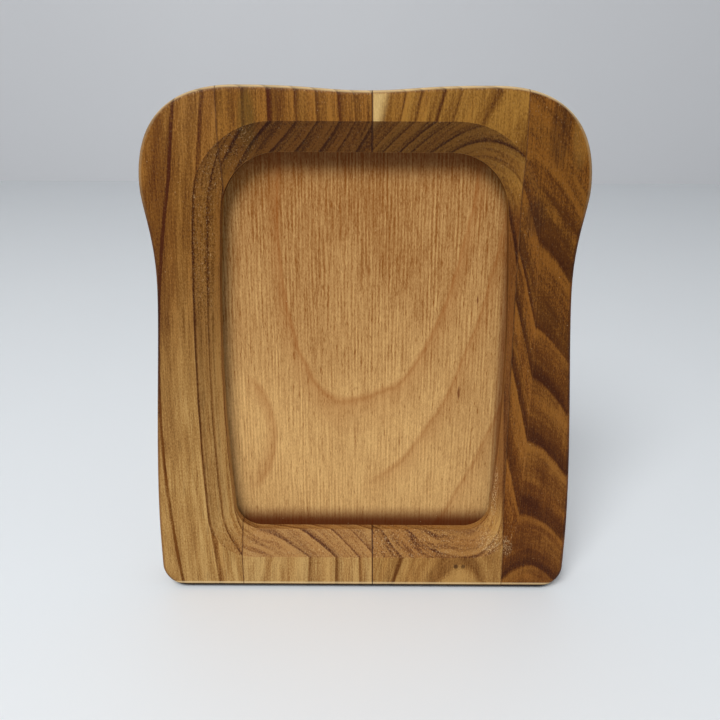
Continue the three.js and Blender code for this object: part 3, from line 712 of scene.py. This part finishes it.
def soften_group():
    group = bpy.data.node_groups.new("soften_facets", "GeometryNodeTree")
    group.interface.new_socket("Geometry", in_out="INPUT", socket_type="NodeSocketGeometry")
    group.interface.new_socket("Geometry", in_out="OUTPUT", socket_type="NodeSocketGeometry")
    kinds = ["NodeGroupInput", "GeometryNodeRemoveAttribute", "GeometryNodeMergeByDistance",
             "GeometryNodeSetShadeSmooth", "GeometryNodeSetShadeSmooth", "NodeGroupOutput"]
    chain = [group.nodes.new(kind) for kind in kinds]
    for before, after in zip(chain, chain[1:]):
        group.links.new(before.outputs[0], after.inputs[0])
    chain[1].inputs["Name"].default_value = "custom_normal"
    chain[2].inputs["Distance"].default_value = WELD_DISTANCE * MM
    chain[4].domain = "EDGE"
    angle = group.nodes.new("GeometryNodeInputMeshEdgeAngle")
    below = group.nodes.new("FunctionNodeCompare")
    below.operation = "LESS_THAN"
    below.inputs["B"].default_value = SMOOTH_BELOW
    group.links.new(angle.outputs["Unsigned Angle"], below.inputs["A"])
    group.links.new(below.outputs[0], chain[4].inputs["Shade Smooth"])
    return group


def soften(node, group):
    modifier = node.modifiers.new("soften", "NODES")
    modifier.node_group = group


def off_glue_face(face, side, limit):
    """Whether a face of a stave lies outside the glue face on that side."""
    aside = abs(face.calc_center_median().x - limit)
    return face.normal.x * side < GLUE_FACE_FACING or aside > GLUE_FACE_REACH * MM


def glue_film(stave, side, material):
    """A thin film on the glue face of a stave, filling the gap to its neighbour."""
    faces = bmesh.new()
    faces.from_mesh(frame["nodes"][stave].data)
    bmesh.ops.remove_doubles(faces, verts=faces.verts, dist=WELD_DISTANCE * MM)
    low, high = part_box(stave)
    limit = high.x if side > 0 else low.x
    away = [f for f in faces.faces if off_glue_face(f, side, limit)]
    bmesh.ops.delete(faces, geom=away, context="FACES")
    normal = sum((f.normal for f in faces.faces), Vector()).normalized()
    top = bmesh.ops.duplicate(faces, geom=faces.verts[:] + faces.edges[:] + faces.faces[:])
    base = [g for g in top["geom"] if isinstance(g, bmesh.types.BMFace)]
    far = [f for f in faces.faces if f not in set(base)]
    for vert in {v for f in base for v in f.verts}:
        vert.co += normal * FILM_CLEARANCE * MM
    for vert in {v for f in far for v in f.verts}:
        vert.co += normal * (GLUE_GAP - FILM_CLEARANCE) * MM
    rims = [e for e in faces.edges if len(e.link_faces) == 1]
    bmesh.ops.reverse_faces(faces, faces=base)
    bmesh.ops.bridge_loops(faces, edges=rims)
    mesh = bpy.data.meshes.new("glue_" + stave + ("_right" if side > 0 else "_left"))
    faces.to_mesh(mesh)
    faces.free()
    film = bpy.data.objects.new(mesh.name, mesh)
    bpy.context.scene.collection.objects.link(film)
    mesh.materials.append(material)
    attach(film, "frame")


# Camera, floor and light, in metres and degrees; the camera is fitted to the photographed outline
CAMERA_PLACE = (-0.00185, -0.28012, 0.2237)
CAMERA_PITCH = 21.65
CAMERA_HEADING = -0.024
CAMERA_ROLL = 0.3
CAMERA_LENS = 35.25
SENSOR_WIDTH = 36.0
CLIP_START = 0.01
FLOOR_FAR_EDGE = 1.41
FLOOR_HALF = 3.0
WALL_HEIGHT = 2.5
KEY_PLACE = (-0.45, -1.05, 1.45)
KEY_TARGET = (0, 0, 0.1)
KEY_SIZE = 0.9
KEY_POWER = 24.0
ROOM_TINT = (0.97, 0.985, 1.0, 1.0)
ROOM_LEVELS = {"From Min": -0.9, "From Max": 0.3, "To Min": 0.2, "To Max": 0.6}


def add_camera():
    data = bpy.data.cameras.new("camera")
    data.lens = CAMERA_LENS
    data.sensor_width = SENSOR_WIDTH
    data.clip_start = CLIP_START
    camera = bpy.data.objects.new("camera", data)
    turn = Matrix.Rotation(math.radians(CAMERA_HEADING), 4, "Z")
    tip = Matrix.Rotation(math.radians(90 - CAMERA_PITCH), 4, "X")
    roll = Matrix.Rotation(math.radians(CAMERA_ROLL), 4, "Z")
    camera.matrix_world = Matrix.Translation(CAMERA_PLACE) @ turn @ tip @ roll
    bpy.context.scene.collection.objects.link(camera)
    bpy.context.scene.camera = camera


def add_panel(name, corners, material):
    mesh = bpy.data.meshes.new(name)
    mesh.from_pydata(corners, [], [tuple(range(len(corners)))])
    mesh.materials.append(material)
    panel = bpy.data.objects.new(name, mesh)
    bpy.context.scene.collection.objects.link(panel)


def add_stage():
    near, far, half, top = -FLOOR_HALF, FLOOR_FAR_EDGE, FLOOR_HALF, WALL_HEIGHT
    table = stage_paint("table_paint", *TABLE)
    wall = stage_paint("wall_paint", *WALL)
    add_panel("floor", [(-half, near, 0), (half, near, 0), (half, far, 0), (-half, far, 0)], table)
    add_panel("backdrop", [(-half, far, 0), (half, far, 0), (half, far, top), (-half, far, top)], wall)


def add_light(name, place, target, size, power):
    data = bpy.data.lights.new(name, "AREA")
    data.shape = "DISK"
    data.size = size
    data.energy = power
    light = bpy.data.objects.new(name, data)
    light.location = place
    light.rotation_euler = (Vector(target) - Vector(place)).to_track_quat("-Z", "Y").to_euler()
    bpy.context.scene.collection.objects.link(light)


def add_world():
    """An even pale room that is dimmer on the viewer's side."""
    world = bpy.data.worlds.new("studio")
    world.use_nodes = True
    tree = world.node_tree
    source = tree.nodes.new("ShaderNodeTexCoord")
    parts = tree.nodes.new("ShaderNodeSeparateXYZ")
    level = tree.nodes.new("ShaderNodeMapRange")
    tree.links.new(source.outputs["Generated"], parts.inputs[0])
    tree.links.new(parts.outputs["Y"], level.inputs["Value"])
    for key, value in ROOM_LEVELS.items():
        level.inputs[key].default_value = value
    tree.links.new(level.outputs[0], tree.nodes["Background"].inputs["Strength"])
    tree.nodes["Background"].inputs["Color"].default_value = ROOM_TINT
    bpy.context.scene.world = world


def dress(node, material):
    mesh = frame["nodes"][node].data
    mesh.materials.clear()
    mesh.materials.append(material)


def leg_depths():
    """The least and greatest depth of the leg along its own thickness, in millimetres."""
    turn = Matrix.Rotation(LEG_LEAN, 4, "X")
    depths = [(turn @ vert.co).y / MM for vert in frame["nodes"]["easel_leg"].data.vertices]
    return min(depths), max(depths)


# Places of a stave's own: rough cuts, marks, torn fibres, sapwood and heartwood

LEFT_RAW = [((-66.0, 4.0, 196.0), (14.0, 20.0, 26.0)), ((-68.0, 4.0, 165.0), (8.0, 20.0, 45.0))]
CORNER_RAW = [((-53.0, 4.0, 203.0), (11.0, 20.0, 16.0))]
BOTTOM_RAW = [((22.0, 4.0, 22.0), (28.0, 20.0, 12.0))]
INNER_LEFT_MARKS = {"moss": [((-46.5, 0.0, 209.0), (4.5, 30.0, 15.0))]}
INNER_RIGHT_MARKS = {
    "knots": [((43.6, 0.0, 11.2), (1.4, 4.0, 1.5)), ((47.0, 0.0, 11.2), (1.2, 4.0, 1.4))],
}
INNER_RIGHT_TORN = [((60.5, 7.0, 47.0), (2.2, 4.0, 19.0)), ((59.5, 3.5, 22.5), (7.0, 6.0, 7.0))]
RIGHT_MARKS = {
    # Painted highlight on the right shoulder's edge
    "painted_gleam": [((84.5, 0.0, 204.0), (4.5, 40.0, 16.0))],
    # Dark wood near the crest, and painted shade beside the bevel lower down
    "dusk_and_shade": [((76.0, 0.0, 205.0), (5.0, 40.0, 17.0)), ((69.0, 0.0, 172.0), (5.0, 40.0, 10.0))],
}
RIGHT_TORN = [((66.2, 1.5, 21.5), (4.2, 5.0, 6.0))]
SAPWOOD_RADIUS = 98.0
UPPER_CLEAR = (205.0, 170.0)
STRIP_HEARTWOOD = {"right_of": (46.0, 60.0), "above": (28.0, 50.0), "below": (186.0, 168.0)}


def main():
    finishes = {
        "stave_left": timber(
            "pale_stave", LEFT_PITH, LEFT_RINGS, PALE_CREST, PALE_FOOT, figure=1.6, cut_line=0.7,
            vein=LEFT_VEIN, raw=LEFT_RAW),
        "stave_inner_left_top": timber(
            "brown_stave", INNER_LEFT_PITH, INNER_LEFT_RINGS, BROWN, BROWN,
            raw=CORNER_RAW, marks=INNER_LEFT_MARKS),
        "stave_inner_left_bottom": timber(
            "golden_stave_left", INNER_LEFT_PITH, INNER_LEFT_FOOT_RINGS,
            GOLDEN_FOOT_LEFT, GOLDEN_FOOT_LEFT),
        "stave_inner_right": timber(
            "golden_stave_right", INNER_RIGHT_PITH, INNER_RIGHT_RINGS, GOLDEN_CREST, GOLDEN_FOOT_RIGHT,
            raw=BOTTOM_RAW, sapwood=SAPWOOD_RADIUS, heartwood=STRIP_HEARTWOOD,
            marks=INNER_RIGHT_MARKS, torn=INNER_RIGHT_TORN),
        "stave_right": timber(
            "dark_stave", RIGHT_PITH, RIGHT_RINGS, DARK_CREST, DARK, fade=BROAD_FADE, figure=1.5,
            cut_line=0.0, clear=UPPER_CLEAR, marks=RIGHT_MARKS, torn=RIGHT_TORN),
        "back_panel": plywood("panel_plywood"),
        "easel_leg": leg_plywood("leg_plywood", leg_depths()),
    }
    brass = metal("brass", *BRASS, rough=0.24)
    steel = metal("zinc", *ZINC, rough=0.26)
    group = soften_group()
    for part in frame["record"]["subparts"]:
        node = part["node"]
        plain = brass if part["material_slot"] == "brass" else steel
        dress(node, finishes.get(node, plain))
        soften(frame["nodes"][node], group)

    dark_glue = glue("dark_glue", *DARK_GLUE)
    soft_glue = glue("soft_glue", *SOFT_GLUE)
    glue_film("stave_inner_left_top", -1, soft_glue)
    glue_film("stave_inner_left_top", 1, dark_glue)
    glue_film("stave_inner_left_bottom", -1, soft_glue)
    glue_film("stave_inner_left_bottom", 1, dark_glue)
    glue_film("stave_inner_right", 1, soft_glue)

    add_camera()
    add_stage()
    add_light("key", KEY_PLACE, KEY_TARGET, KEY_SIZE, KEY_POWER)
    add_world()
    bpy.context.scene.view_settings.view_transform = "Standard"


main()
